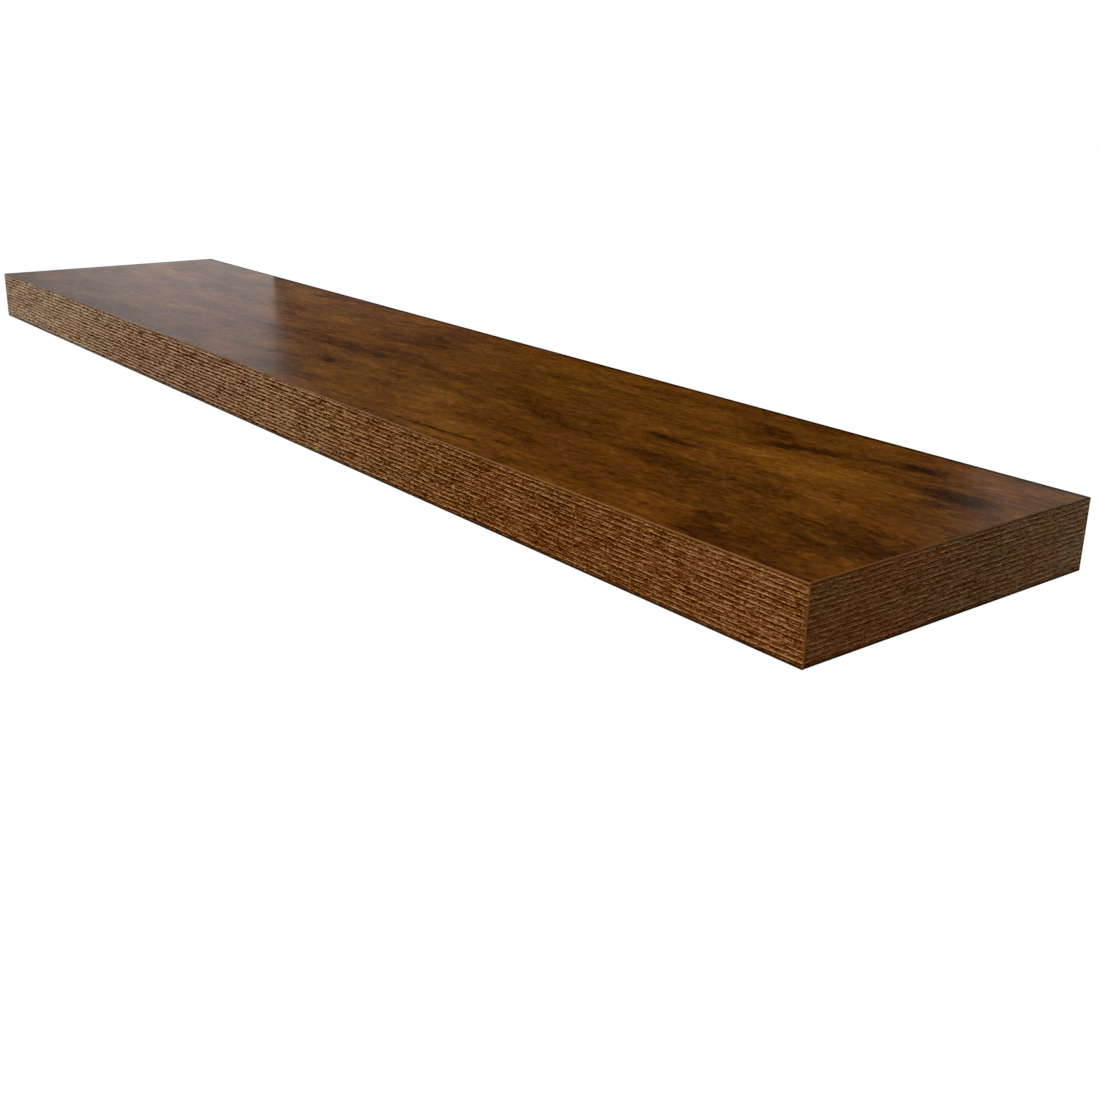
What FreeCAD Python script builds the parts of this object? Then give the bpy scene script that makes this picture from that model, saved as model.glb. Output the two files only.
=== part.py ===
import FreeCAD, Part
import math
import os

import Sketcher
from FreeCAD import Placement, Rotation, Vector

# Floating wall shelf: a hollow wood box on three steel rods of a hidden wall plate.
# Millimetres. X runs along the length, the room is toward -Y, the wall is the plane y = 0,
# and z = 0 is the middle of the thickness.

os.makedirs("parts", exist_ok=True)
doc = FreeCAD.newDocument("floating_wall_shelf")

# Driving sizes
sizes = {
    # the finished shelf
    "shelf_length": 965,
    "shelf_depth": 203,
    "shelf_thickness": 38,
    # skins and edge bands
    "laminate_thickness": 0.6,
    "panel_thickness": 3,
    "band_thickness": 1,
    "band_round": 0.6,
    # frame between the skins
    "front_rail_width": 28,
    "end_rail_width": 28,
    "rear_rail_width": 36,
    "rib_width": 60,
    # paper core
    "cell_size": 20,
    "cell_wall": 0.5,
    "core_gap": 1,
    # staples at the butt joints
    "staple_crown": 12,
    "staple_leg": 12,
    "staple_wire": 1.2,
    "rib_staple_offset": 20,
    "corner_staple_offset": 6,
    # rods and their bores
    "rod_diameter": 12,
    "rod_from_end": 182.5,
    "rod_tip_from_front": 50,
    "rod_chamfer": 1.5,
    "rod_clearance": 0.25,
    "rod_tip_gap": 3,
    "spigot_diameter": 8,
    # wall plate and its recess
    "plate_thickness": 3,
    "plate_from_end": 52.5,
    "plate_clearance": 0.5,
    "plate_front_gap": 0.3,
    "recess_lip": 2.9,
    "wall_hole_diameter": 5.5,
    "wall_hole_head": 10,
    "outer_hole_from_plate_end": 23.6,
    "inner_hole_from_rod": 96.8,
    # lock screws and their inserts
    "lock_screw_diameter": 6,
    "lock_screw_from_wall": 70,
    "lock_screw_recess": 0.7,
    "lock_screw_tip_gap": 0.3,
    "lock_screw_chamfer": 0.6,
    "lock_screw_clearance": 0.1,
    "hex_key": 3,
    "hex_depth": 3.5,
    "insert_diameter": 10,
    "insert_wall": 1.75,
    "barb_depth": 0.7,
    "flange_diameter": 13,
    "flange_thickness": 1,
    "flange_clearance": 0.1,
    "screw_hole_clearance": 0.4,
}
barb_count = 4

dims = doc.addObject("Spreadsheet::Sheet", "dims")
for row, (alias, size) in enumerate(sizes.items(), start=1):
    dims.set(f"A{row}", alias.replace("_", " "))
    dims.set(f"B{row}", str(size))
    dims.setAlias(f"B{row}", alias)
doc.recompute()

# Places that several pieces share, as expressions on the sheet
half_length = "dims.shelf_length / 2"
half_thickness = "dims.shelf_thickness / 2"
inside_half_length = "(dims.shelf_length / 2 - dims.band_thickness)"
inside_front = "-(dims.shelf_depth - dims.band_thickness)"
inside_rear = "-dims.band_thickness"
skin_top = "(dims.shelf_thickness / 2 - dims.laminate_thickness)"
core_top = "(dims.shelf_thickness / 2 - dims.laminate_thickness - dims.panel_thickness)"
front_rail_back = "-(dims.shelf_depth - dims.band_thickness - dims.front_rail_width)"
rear_rail_front = "-(dims.band_thickness + dims.rear_rail_width)"
bay_end = "(dims.shelf_length / 2 - dims.band_thickness - dims.end_rail_width)"
rod_place = "(dims.shelf_length / 2 - dims.rod_from_end)"
rod_tip = "(dims.shelf_depth - dims.rod_tip_from_front)"
rod_radius = "dims.rod_diameter / 2"
bore_radius = "(dims.rod_diameter / 2 + dims.rod_clearance)"
plate_half_length = "(dims.shelf_length / 2 - dims.plate_from_end)"
recess_half_height = f"({core_top} - dims.recess_lip)"
plate_half_height = f"({recess_half_height} - dims.plate_clearance)"
outer_hole_place = f"({plate_half_length} - dims.outer_hole_from_plate_end)"
inner_hole_place = f"({rod_place} - dims.inner_hole_from_rod)"
insert_length = f"({half_thickness} - {bore_radius} - dims.insert_wall)"
lock_screw_radius = "dims.lock_screw_diameter / 2"
lock_screw_length = (
    f"({half_thickness} - dims.lock_screw_recess - {rod_radius} - dims.lock_screw_tip_gap)"
)
sides = {"left": -1, "centre": 0, "right": 1}
outer_sides = {"left": -1, "right": 1}
nodes = []


def value(expression):
    return float(dims.evalExpression(expression))


def keep(piece, label):
    # a finished piece, written under its own label
    piece.Label = label
    nodes.append(piece)
    return piece


def place(piece, x="0", y="0", z="0"):
    for axis, expression in zip("xyz", (x, y, z)):
        piece.setExpression(f"Placement.Base.{axis}", expression)


def add_box(name, low, high):
    box = doc.addObject("Part::Box", name)
    for side, start, end in zip(("Length", "Width", "Height"), low, high):
        box.setExpression(side, f"({end}) - ({start})")
    place(box, *low)
    return box


def add_cylinder(name, radius, height, turn, x="0", y="0", z="0"):
    cylinder = doc.addObject("Part::Cylinder", name)
    cylinder.Placement = Placement(Vector(), turn)
    cylinder.setExpression("Radius", radius)
    cylinder.setExpression("Height", height)
    place(cylinder, x, y, z)
    return cylinder


def fuse(name, pieces):
    joined = doc.addObject("Part::MultiFuse", name)
    joined.Shapes = pieces
    return joined


def cut(name, base, tools):
    result = doc.addObject("Part::Cut", name)
    result.Base = base
    result.Tool = tools[0] if len(tools) == 1 else fuse(f"{name}_tools", tools)
    return result


def add_sketch(body, name, role):
    plane = next(item for item in body.Origin.OriginFeatures if item.Role == role)
    sketch = body.newObject("Sketcher::SketchObject", name)
    sketch.AttachmentSupport = [(plane, "")]
    sketch.MapMode = "FlatFace"
    return sketch


def pin_point(sketch, geometry, point, across, up):
    # holds one sketch point at two sheet expressions; a zero lies on the sketch axis
    for kind, axis, expression in (("DistanceX", -2, across), ("DistanceY", -1, up)):
        size = value(expression)
        if abs(size) < 1e-9:
            sketch.addConstraint(Sketcher.Constraint("PointOnObject", geometry, point, axis))
            continue
        index = sketch.addConstraint(Sketcher.Constraint(kind, -1, 1, geometry, point, size))
        sketch.setExpression(f"Constraints[{index}]", expression)


def draw_polygon(sketch, corners):
    points = [Vector(value(across), value(up), 0) for across, up in corners]
    count = len(points)
    for index in range(count):
        sketch.addGeometry(Part.LineSegment(points[index], points[(index + 1) % count]))
    for index in range(count):
        sketch.addConstraint(Sketcher.Constraint("Coincident", index, 2, (index + 1) % count, 1))
    for index, (across, up) in enumerate(corners):
        pin_point(sketch, index, 1, across, up)


def draw_rectangle(sketch, half_width, half_height):
    low_width, low_height = f"-({half_width})", f"-({half_height})"
    draw_polygon(sketch, [
        (low_width, low_height),
        (half_width, low_height),
        (half_width, half_height),
        (low_width, half_height),
    ])


def draw_circles(sketch, places, radius):
    for across in places:
        circle = Part.Circle(Vector(value(across), 0, 0), Vector(0, 0, 1), value(radius))
        geometry = sketch.addGeometry(circle)
        index = sketch.addConstraint(Sketcher.Constraint("Radius", geometry, value(radius)))
        sketch.setExpression(f"Constraints[{index}]", radius)
        pin_point(sketch, geometry, 3, across, "0")


def revolve(body, sketch):
    turned = body.newObject("PartDesign::Revolution", f"{body.Name}_turned")
    turned.Profile = sketch
    turned.ReferenceAxis = (sketch, ["V_Axis"])
    turned.Angle = 360
    return turned


# Staples across the butt joints, let in flush with the frame's upper and lower faces
def make_staple():
    half_crown = dims.staple_crown / 2
    wire = dims.staple_wire
    leg = dims.staple_leg
    outline = [
        (-half_crown, 0),
        (half_crown, 0),
        (half_crown, -leg),
        (half_crown - wire, -leg),
        (half_crown - wire, -wire),
        (wire - half_crown, -wire),
        (wire - half_crown, -leg),
        (-half_crown, -leg),
    ]
    points = [Vector(-wire / 2, y, z) for y, z in outline]
    face = Part.Face(Part.makePolygon(points + points[:1]))
    return face.extrude(Vector(wire, 0, 0))


def make_staples():
    corner = value(f"{bay_end} + dims.end_rail_width / 2")
    columns = [(side * corner, dims.corner_staple_offset) for side in outer_sides.values()]
    columns += [(side * value(rod_place), dims.rib_staple_offset) for side in sides.values()]
    staples = []
    for x, offset in columns:
        for joint in (front_rail_back, rear_rail_front):
            for up in (1, -1):
                staple = make_staple()
                turn = Rotation(Vector(0, 1, 0), 0 if up > 0 else 180)
                spot = Vector(x + up * offset, value(joint), up * value(core_top))
                staple.Placement = Placement(spot, turn)
                staples.append(staple)
    group = doc.addObject("Part::Feature", "frame_staples")
    group.Shape = Part.makeCompound(staples)
    return keep(group, "frame_staples")


# Hollows that more than one piece takes: rod bores, plate recess, insert seats
def make_rod_bores():
    toward_room = Rotation(Vector(1, 0, 0), 90)
    return {
        side: add_cylinder(
            f"{side}_bore",
            bore_radius,
            f"{rod_tip} + dims.rod_tip_gap",
            toward_room,
            x=f"{sign} * {rod_place}",
        )
        for side, sign in sides.items()
    }


def make_plate_recess():
    half = f"({plate_half_length} + dims.plate_clearance)"
    depth = "(dims.plate_thickness + dims.plate_front_gap)"
    low = (f"-{half}", f"-{depth}", f"-{recess_half_height}")
    return add_box("plate_recess", low, (half, "0", recess_half_height))


def make_insert_seats():
    seats = {}
    for side, sign in outer_sides.items():
        spot = {
            "x": f"{sign} * {rod_place}",
            "y": "-dims.lock_screw_from_wall",
            "z": f"-{half_thickness}",
        }
        bores = [
            ("flange", "dims.flange_diameter / 2 + dims.flange_clearance", "dims.flange_thickness"),
            ("body", "dims.insert_diameter / 2", insert_length),
            ("screw", f"{lock_screw_radius} + dims.screw_hole_clearance", half_thickness),
        ]
        steps = [
            add_cylinder(f"{side}_{name}_seat", radius, height, Rotation(), **spot)
            for name, radius, height in bores
        ]
        seats[side] = fuse(f"{side}_insert_seat", steps)
    return seats


# Skins and frame
def make_skins(seats):
    low_x, low_y = f"-{inside_half_length}", inside_front
    high_x, high_y = inside_half_length, inside_rear
    layers = {"laminate": (half_thickness, skin_top), "panel": (skin_top, core_top)}
    for layer, (outer, inner) in layers.items():
        top = add_box(f"top_{layer}", (low_x, low_y, inner), (high_x, high_y, outer))
        keep(top, f"top_{layer}")
        low = (low_x, low_y, f"-({outer})")
        blank = add_box(f"bottom_{layer}_blank", low, (high_x, high_y, f"-({inner})"))
        bottom = cut(f"bottom_{layer}", blank, list(seats.values()))
        keep(bottom, f"bottom_{layer}")


def add_frame_piece(label, x_span, y_span, tools):
    low = (x_span[0], y_span[0], f"-{core_top}")
    blank = add_box(f"{label}_blank", low, (x_span[1], y_span[1], core_top))
    return keep(cut(f"{label}_cut", blank, tools), label)


def make_frame(staples, bores, recess, seats):
    full = (f"-{inside_half_length}", inside_half_length)
    between = (front_rail_back, rear_rail_front)
    add_frame_piece("front_rail", full, (inside_front, front_rail_back), [staples])
    rear_tools = [staples, recess] + list(bores.values())
    add_frame_piece("rear_rail", full, (rear_rail_front, inside_rear), rear_tools)
    add_frame_piece("left_end_rail", (full[0], f"-{bay_end}"), between, [staples])
    add_frame_piece("right_end_rail", (bay_end, full[1]), between, [staples])
    for side, sign in sides.items():
        middle = f"{sign} * {rod_place}"
        span = (f"{middle} - dims.rib_width / 2", f"{middle} + dims.rib_width / 2")
        tools = [staples, bores[side]]
        if side in seats:
            tools.append(seats[side])
        add_frame_piece(f"{side}_rib", span, between, tools)


# Expanded paper core: whole hexagonal cells that stand between the two panels
def hexagon(centre, corner_radius):
    corners = []
    for step in range(6):
        angle = math.radians(60 * step)
        reach = Vector(math.sin(angle), math.cos(angle), 0) * corner_radius
        corners.append(centre + reach)
    return corners


def cell_centres(x_span, y_span, z):
    pitch = dims.cell_size + dims.cell_wall
    corner = pitch / math.sqrt(3)
    width = x_span[1] - x_span[0] - 2 * dims.core_gap
    depth = y_span[1] - y_span[0] - 2 * dims.core_gap
    rows = int((depth - 2 * corner) / (1.5 * corner)) + 1
    columns = int(width / pitch - 0.5)
    middle = Vector(sum(x_span) / 2, sum(y_span) / 2, z)
    centres = []
    for row in range(rows):
        for column in range(columns):
            x = (column - (columns - 1) / 2) * pitch + (row % 2 - 0.5) * pitch / 2
            y = (row - (rows - 1) / 2) * 1.5 * corner
            centres.append(middle + Vector(x, y, 0))
    return centres


def make_honeycomb(x_span):
    y_span = (value(front_rail_back), value(rear_rail_front))
    height = 2 * value(core_top)
    centres = cell_centres(x_span, y_span, -height / 2)
    pitch = dims.cell_size + dims.cell_wall
    corner_radius = pitch / math.sqrt(3)
    # edge middles lie on an even grid; an edge met twice is shared by two cells
    rim = {}
    for centre in centres:
        corners = hexagon(centre, corner_radius)
        for start, end in zip(corners, corners[1:] + corners[:1]):
            reach = (start + end) / 2 - centres[0]
            key = (round(4 * reach.x / pitch), round(reach.y / (0.75 * corner_radius)))
            rim[key] = None if key in rim else Part.makeLine(start, end)
    outline = Part.Wire(Part.sortEdges([edge for edge in rim.values() if edge])[0])
    cells = [hexagon(centre, dims.cell_size / math.sqrt(3)) for centre in centres]
    holes = [Part.makePolygon(corners + corners[:1]) for corners in cells]
    return Part.makeFace([outline] + holes, "Part::FaceMakerBullseye").extrude(Vector(0, 0, height))


def make_cores():
    end, rod, half_rib = value(bay_end), value(rod_place), dims.rib_width / 2
    bays = {
        "far_left_core": (-end, -rod - half_rib),
        "left_core": (half_rib - rod, -half_rib),
        "right_core": (half_rib, rod - half_rib),
        "far_right_core": (rod + half_rib, end),
    }
    for label, x_span in bays.items():
        core = doc.addObject("Part::Feature", label)
        core.Shape = make_honeycomb(x_span)
        keep(core, label)


# Edge bands: ends first, then the two long edges over them; outer arrises rounded
def round_edges(body, pad, is_arris):
    doc.recompute()
    names = [
        f"Edge{index}"
        for index, edge in enumerate(pad.Shape.Edges, start=1)
        if is_arris(edge.CenterOfMass)
    ]
    rounded = body.newObject("PartDesign::Fillet", f"{body.Name}_round")
    rounded.Base = (pad, names)
    rounded.setExpression("Radius", "min(dims.band_round; dims.band_thickness * 0.9)")


def add_band(name, role, half_width, is_arris):
    body = doc.addObject("PartDesign::Body", name)
    sketch = add_sketch(body, f"{name}_sketch", role)
    draw_rectangle(sketch, half_width, half_thickness)
    pad = body.newObject("PartDesign::Pad", f"{name}_pad")
    pad.Profile = sketch
    pad.setExpression("Length", "dims.band_thickness")
    round_edges(body, pad, is_arris)
    return body


def make_bands(recess):
    # a long band is drawn from y = 0 to -thickness, an end band from x = 0 to thickness
    thickness = dims.band_thickness
    end = value(half_length)
    top = value(half_thickness)

    def on_long_arris(outer_y):
        def test(middle):
            on_outer_face = abs(middle.y - outer_y) < 1e-6
            on_end_corner = abs(abs(middle.x) - end) < 1e-6 and abs(abs(middle.z) - top) < 1e-6
            return on_outer_face or on_end_corner
        return test

    front = add_band("front_band", "XZ_Plane", half_length, on_long_arris(-thickness))
    place(front, y=inside_front)
    keep(front, "front_edge_band")
    rear = add_band("rear_band", "XZ_Plane", half_length, on_long_arris(0))
    keep(cut("rear_band_cut", rear, [recess]), "rear_edge_band")

    half_depth = "(dims.shelf_depth / 2 - dims.band_thickness)"
    for side, sign in outer_sides.items():
        outer_x = thickness if sign > 0 else 0

        def on_end_arris(middle, outer_x=outer_x):
            return abs(middle.x - outer_x) < 1e-6 and abs(abs(middle.z) - top) < 1e-6

        band = add_band(f"{side}_band", "YZ_Plane", half_depth, on_end_arris)
        x = inside_half_length if sign > 0 else f"-{half_length}"
        place(band, x=x, y="-dims.shelf_depth / 2")
        keep(band, f"{side}_edge_band")


# Wall bracket: flat bar with countersunk wall holes, and rods riveted into it
def make_wall_plate():
    body = doc.addObject("PartDesign::Body", "wall_plate")
    outline = add_sketch(body, "plate_outline", "XZ_Plane")
    draw_rectangle(outline, plate_half_length, plate_half_height)
    pad = body.newObject("PartDesign::Pad", "plate_bar")
    pad.Profile = outline
    pad.setExpression("Length", "dims.plate_thickness")
    spigots = add_sketch(body, "spigot_places", "XZ_Plane")
    rods = [f"{sign} * {rod_place}" for sign in sides.values()]
    draw_circles(spigots, rods, "dims.spigot_diameter / 2")
    pocket = body.newObject("PartDesign::Pocket", "spigot_holes")
    pocket.Profile = spigots
    pocket.Type = "ThroughAll"
    pocket.Reversed = True
    screws = add_sketch(body, "wall_hole_places", "XZ_Plane")
    screws.setExpression("AttachmentOffset.Base.z", "dims.plate_thickness")
    holes = [f"{sign} * {spot}" for sign in (-1, 1) for spot in (outer_hole_place, inner_hole_place)]
    draw_circles(screws, holes, "dims.wall_hole_diameter / 2")
    doc.recompute()
    hole = body.newObject("PartDesign::Hole", "wall_holes")
    hole.Profile = screws
    hole.DepthType = "ThroughAll"
    hole.setExpression("Diameter", "dims.wall_hole_diameter")
    hole.HoleCutType = "Countersink"
    hole.HoleCutCustomValues = True
    hole.setExpression("HoleCutDiameter", "dims.wall_hole_head")
    hole.HoleCutCountersinkAngle = 90
    keep(body, "wall_plate")


def make_rods():
    for side, sign in sides.items():
        body = doc.addObject("PartDesign::Body", f"{side}_rod")
        sketch = add_sketch(body, f"{side}_rod_profile", "XY_Plane")
        spigot = "dims.spigot_diameter / 2"
        shoulder = "-dims.plate_thickness"
        draw_polygon(sketch, [
            ("0", "0"),
            (spigot, "0"),
            (spigot, shoulder),
            (rod_radius, shoulder),
            (rod_radius, f"dims.rod_chamfer - {rod_tip}"),
            (f"{rod_radius} - dims.rod_chamfer", f"-{rod_tip}"),
            ("0", f"-{rod_tip}"),
        ])
        revolve(body, sketch)
        place(body, x=f"{sign} * {rod_place}")
        keep(body, f"{side}_rod")


# Lock screws in flanged, barbed inserts, driven from the underside
def make_inserts():
    for side, sign in outer_sides.items():
        body = doc.addObject("PartDesign::Body", f"{side}_insert")
        sketch = add_sketch(body, f"{side}_insert_profile", "XZ_Plane")
        bore = f"({lock_screw_radius} + dims.lock_screw_clearance)"
        crest = "dims.insert_diameter / 2"
        root = "(dims.insert_diameter / 2 - dims.barb_depth)"
        flange = "dims.flange_diameter / 2"
        corners = [(bore, "0"), (flange, "0"), (flange, "dims.flange_thickness")]
        barb_height = f"({insert_length} - dims.flange_thickness) / {barb_count}"
        for barb in range(barb_count):
            start = f"dims.flange_thickness + {barb} * {barb_height}"
            corners += [(crest, start)] if barb == 0 else [(root, start), (crest, start)]
        corners += [(root, insert_length), (bore, insert_length)]
        draw_polygon(sketch, corners)
        revolve(body, sketch)
        place(body, f"{sign} * {rod_place}", "-dims.lock_screw_from_wall", f"-{half_thickness}")
        keep(body, f"{side}_insert")


def make_lock_screws():
    for side, sign in outer_sides.items():
        body = doc.addObject("PartDesign::Body", f"{side}_lock_screw")
        sketch = add_sketch(body, f"{side}_screw_profile", "XZ_Plane")
        waist = f"({lock_screw_radius} - dims.lock_screw_chamfer)"
        draw_polygon(sketch, [
            ("0", "0"),
            (waist, "0"),
            (lock_screw_radius, "dims.lock_screw_chamfer"),
            (lock_screw_radius, f"{lock_screw_length} - dims.lock_screw_chamfer"),
            (waist, lock_screw_length),
            ("0", lock_screw_length),
        ])
        revolve(body, sketch)
        socket = add_sketch(body, f"{side}_socket", "XY_Plane")
        flat, corner = "dims.hex_key / 2", "dims.hex_key / sqrt(3)"
        draw_polygon(socket, [
            (corner, "0"),
            (f"{corner} / 2", flat),
            (f"-{corner} / 2", flat),
            (f"-{corner}", "0"),
            (f"-{corner} / 2", f"-{flat}"),
            (f"{corner} / 2", f"-{flat}"),
        ])
        pocket = body.newObject("PartDesign::Pocket", f"{side}_hex")
        pocket.Profile = socket
        pocket.setExpression("Length", "dims.hex_depth")
        pocket.Reversed = True
        height = f"dims.lock_screw_recess - {half_thickness}"
        place(body, f"{sign} * {rod_place}", "-dims.lock_screw_from_wall", height)
        keep(body, f"{side}_lock_screw")


staples = make_staples()
bores = make_rod_bores()
recess = make_plate_recess()
seats = make_insert_seats()
make_skins(seats)
make_frame(staples, bores, recess, seats)
make_cores()
make_bands(recess)
make_wall_plate()
make_rods()
make_inserts()
make_lock_screws()
doc.recompute()

for item in doc.Objects:
    if {"Invalid", "Error"} & set(item.State):
        raise RuntimeError(f"{item.Label} did not build: {item.State}")
for node in nodes:
    if node.Shape.isNull() or not node.Shape.isValid() or not node.Shape.Solids:
        raise RuntimeError(f"{node.Label} has no valid solid")
    node.Shape.exportStep(f"parts/{node.Label}.step")
    box = node.Shape.BoundBox
    extent = f"{box.XLength:.1f} x {box.YLength:.1f} x {box.ZLength:.1f} mm"
    print(f"{node.Label}: {node.Shape.Volume / 1000:.2f} cm3, {extent}")
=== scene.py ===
import math

import bpy
from mathutils import Matrix, Vector


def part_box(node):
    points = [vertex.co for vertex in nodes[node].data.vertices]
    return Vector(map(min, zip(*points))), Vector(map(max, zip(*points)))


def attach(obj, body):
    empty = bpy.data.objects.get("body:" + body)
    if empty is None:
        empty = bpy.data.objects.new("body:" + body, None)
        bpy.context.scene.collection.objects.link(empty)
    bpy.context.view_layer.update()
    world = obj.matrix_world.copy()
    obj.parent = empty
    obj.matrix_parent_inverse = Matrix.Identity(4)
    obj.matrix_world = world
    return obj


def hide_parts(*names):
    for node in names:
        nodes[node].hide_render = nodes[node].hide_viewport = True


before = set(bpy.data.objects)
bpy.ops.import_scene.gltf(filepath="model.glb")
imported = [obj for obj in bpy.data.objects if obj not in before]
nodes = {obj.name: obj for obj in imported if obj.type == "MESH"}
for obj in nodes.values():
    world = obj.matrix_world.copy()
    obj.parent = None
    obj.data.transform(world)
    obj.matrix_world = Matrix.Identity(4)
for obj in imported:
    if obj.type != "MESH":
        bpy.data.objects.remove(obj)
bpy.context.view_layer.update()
mm = 0.001
print("frame loaded:", len(nodes), "CAD nodes")


def addNode(tree, kind, links=None, **settings):
    node = tree.nodes.new(kind)
    for name, setting in settings.items():
        setattr(node, name, setting)
    for socket, source in (links or {}).items():
        if isinstance(source, bpy.types.NodeSocket):
            tree.links.new(source, node.inputs[socket])
        else:
            node.inputs[socket].default_value = source
    return node


def hexColor(code):
    parts = [int(code[i:i + 2], 16) / 255 for i in (1, 3, 5)]
    return [c / 12.92 if c <= 0.04045 else ((c + 0.055) / 1.055) ** 2.4 for c in parts] + [1.0]


def startMaterial(name):
    material = bpy.data.materials.new(name)
    material.use_nodes = True
    material.node_tree.nodes.clear()
    return material, material.node_tree


def endMaterial(tree, shader):
    addNode(tree, "ShaderNodeOutputMaterial", {"Surface": shader.outputs[0]})


def setRamp(node, stops):
    ramp = node.color_ramp
    while len(ramp.elements) < len(stops):
        ramp.elements.new(1.0)
    for element, (place, code) in zip(ramp.elements, stops):
        element.position = place
        element.color = hexColor(code)


def dressNode(name, material):
    mesh = nodes[name].data
    mesh.materials.clear()
    mesh.materials.append(material)


# Lined edge band: printed decor foil with embossed pores that run along the edge
bandLines = {
    "pitch": 2.54 * mm,       # fifteen lines across the thickness
    "firstRidge": 16.6 * mm,  # height where the uppermost line turns from dark to light
    # length and width of the waves that lead lines astray, and how many pitches they stray
    "stray": ((80 * mm, 12 * mm, 1.0), (8 * mm, 2.2 * mm, 0.32)),
    # one pitch from below to above: dark pore, then the bright crest right over it
    "profile": ((0.0, 0.5), (0.17, 0.47), (0.34, 0.0), (0.5, 0.5), (0.65, 1.0), (0.82, 0.53), (1.0, 0.5)),
    "breakSize": (14 * mm, 2.1 * mm),  # how long and tall a run of line is before it fades
    "breakRange": (0.38, 0.58),        # noise where a line has faded, and where it is whole
    "depth": 0.22 * mm,
    "arris": 0.6 * mm,
    "faceMargin": 0.5 * mm,   # pores fade out this far from the arris
    "columnStep": 1.35 * mm,
    "rows": 112,
    "endColumns": 4,          # extra columns that round each end
}


# +1 on the crest of a line and -1 in its pore; place is (along, rise, -) in metres,
# and gap is the share of a line that is left between its runs
def lineField(tree, place, gap):
    pitch = bandLines["pitch"]
    rise = addNode(tree, "ShaderNodeSeparateXYZ", {0: place}).outputs[1]
    count = addNode(tree, "ShaderNodeMath", {
        0: rise, 1: 1 / pitch, 2: -bandLines["firstRidge"] / pitch}, operation="MULTIPLY_ADD")
    for length, width, reach in bandLines["stray"]:
        stretched = addNode(tree, "ShaderNodeVectorMath", {
            0: place, 1: (1 / length, 1 / width, 0)}, operation="MULTIPLY")
        noise = addNode(tree, "ShaderNodeTexNoise", {
            "Vector": stretched.outputs[0], "Scale": 1.0, "Detail": 2.0, "Roughness": 0.5})
        offset = addNode(tree, "ShaderNodeMath", {
            0: noise.outputs[0], 1: reach, 2: -reach / 2}, operation="MULTIPLY_ADD")
        count = addNode(tree, "ShaderNodeMath", {
            0: count.outputs[0], 1: offset.outputs[0]}, operation="ADD")
    shifted = addNode(tree, "ShaderNodeMath", {0: count.outputs[0], 1: 0.5}, operation="ADD")
    phase = addNode(tree, "ShaderNodeMath", {0: shifted.outputs[0]}, operation="FRACT")
    profile = addNode(tree, "ShaderNodeFloatCurve", {"Value": phase.outputs[0]})
    curve = profile.mapping.curves[0].points
    while len(curve) < len(bandLines["profile"]):
        curve.new(0.5, 0.5)
    for point, corner in zip(curve, bandLines["profile"]):
        point.location = corner
    profile.mapping.update()
    wave = addNode(tree, "ShaderNodeMath", {
        0: profile.outputs[0], 1: 2.0, 2: -1.0}, operation="MULTIPLY_ADD")
    runLength, runHeight = bandLines["breakSize"]
    faded, whole = bandLines["breakRange"]
    stretched = addNode(tree, "ShaderNodeVectorMath", {
        0: place, 1: (1 / runLength, 1 / runHeight, 0)}, operation="MULTIPLY")
    breaks = addNode(tree, "ShaderNodeTexNoise", {
        "Vector": stretched.outputs[0], "Scale": 1.0, "Detail": 3.0, "Roughness": 0.6})
    strength = addNode(tree, "ShaderNodeMapRange", {
        "Value": breaks.outputs[0], "From Min": faded, "From Max": whole, "To Min": gap, "To Max": 1.0},
        interpolation_type="SMOOTHSTEP")
    return addNode(tree, "ShaderNodeMath", {
        0: wave.outputs[0], 1: strength.outputs[0]}, operation="MULTIPLY").outputs[0]


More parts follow.
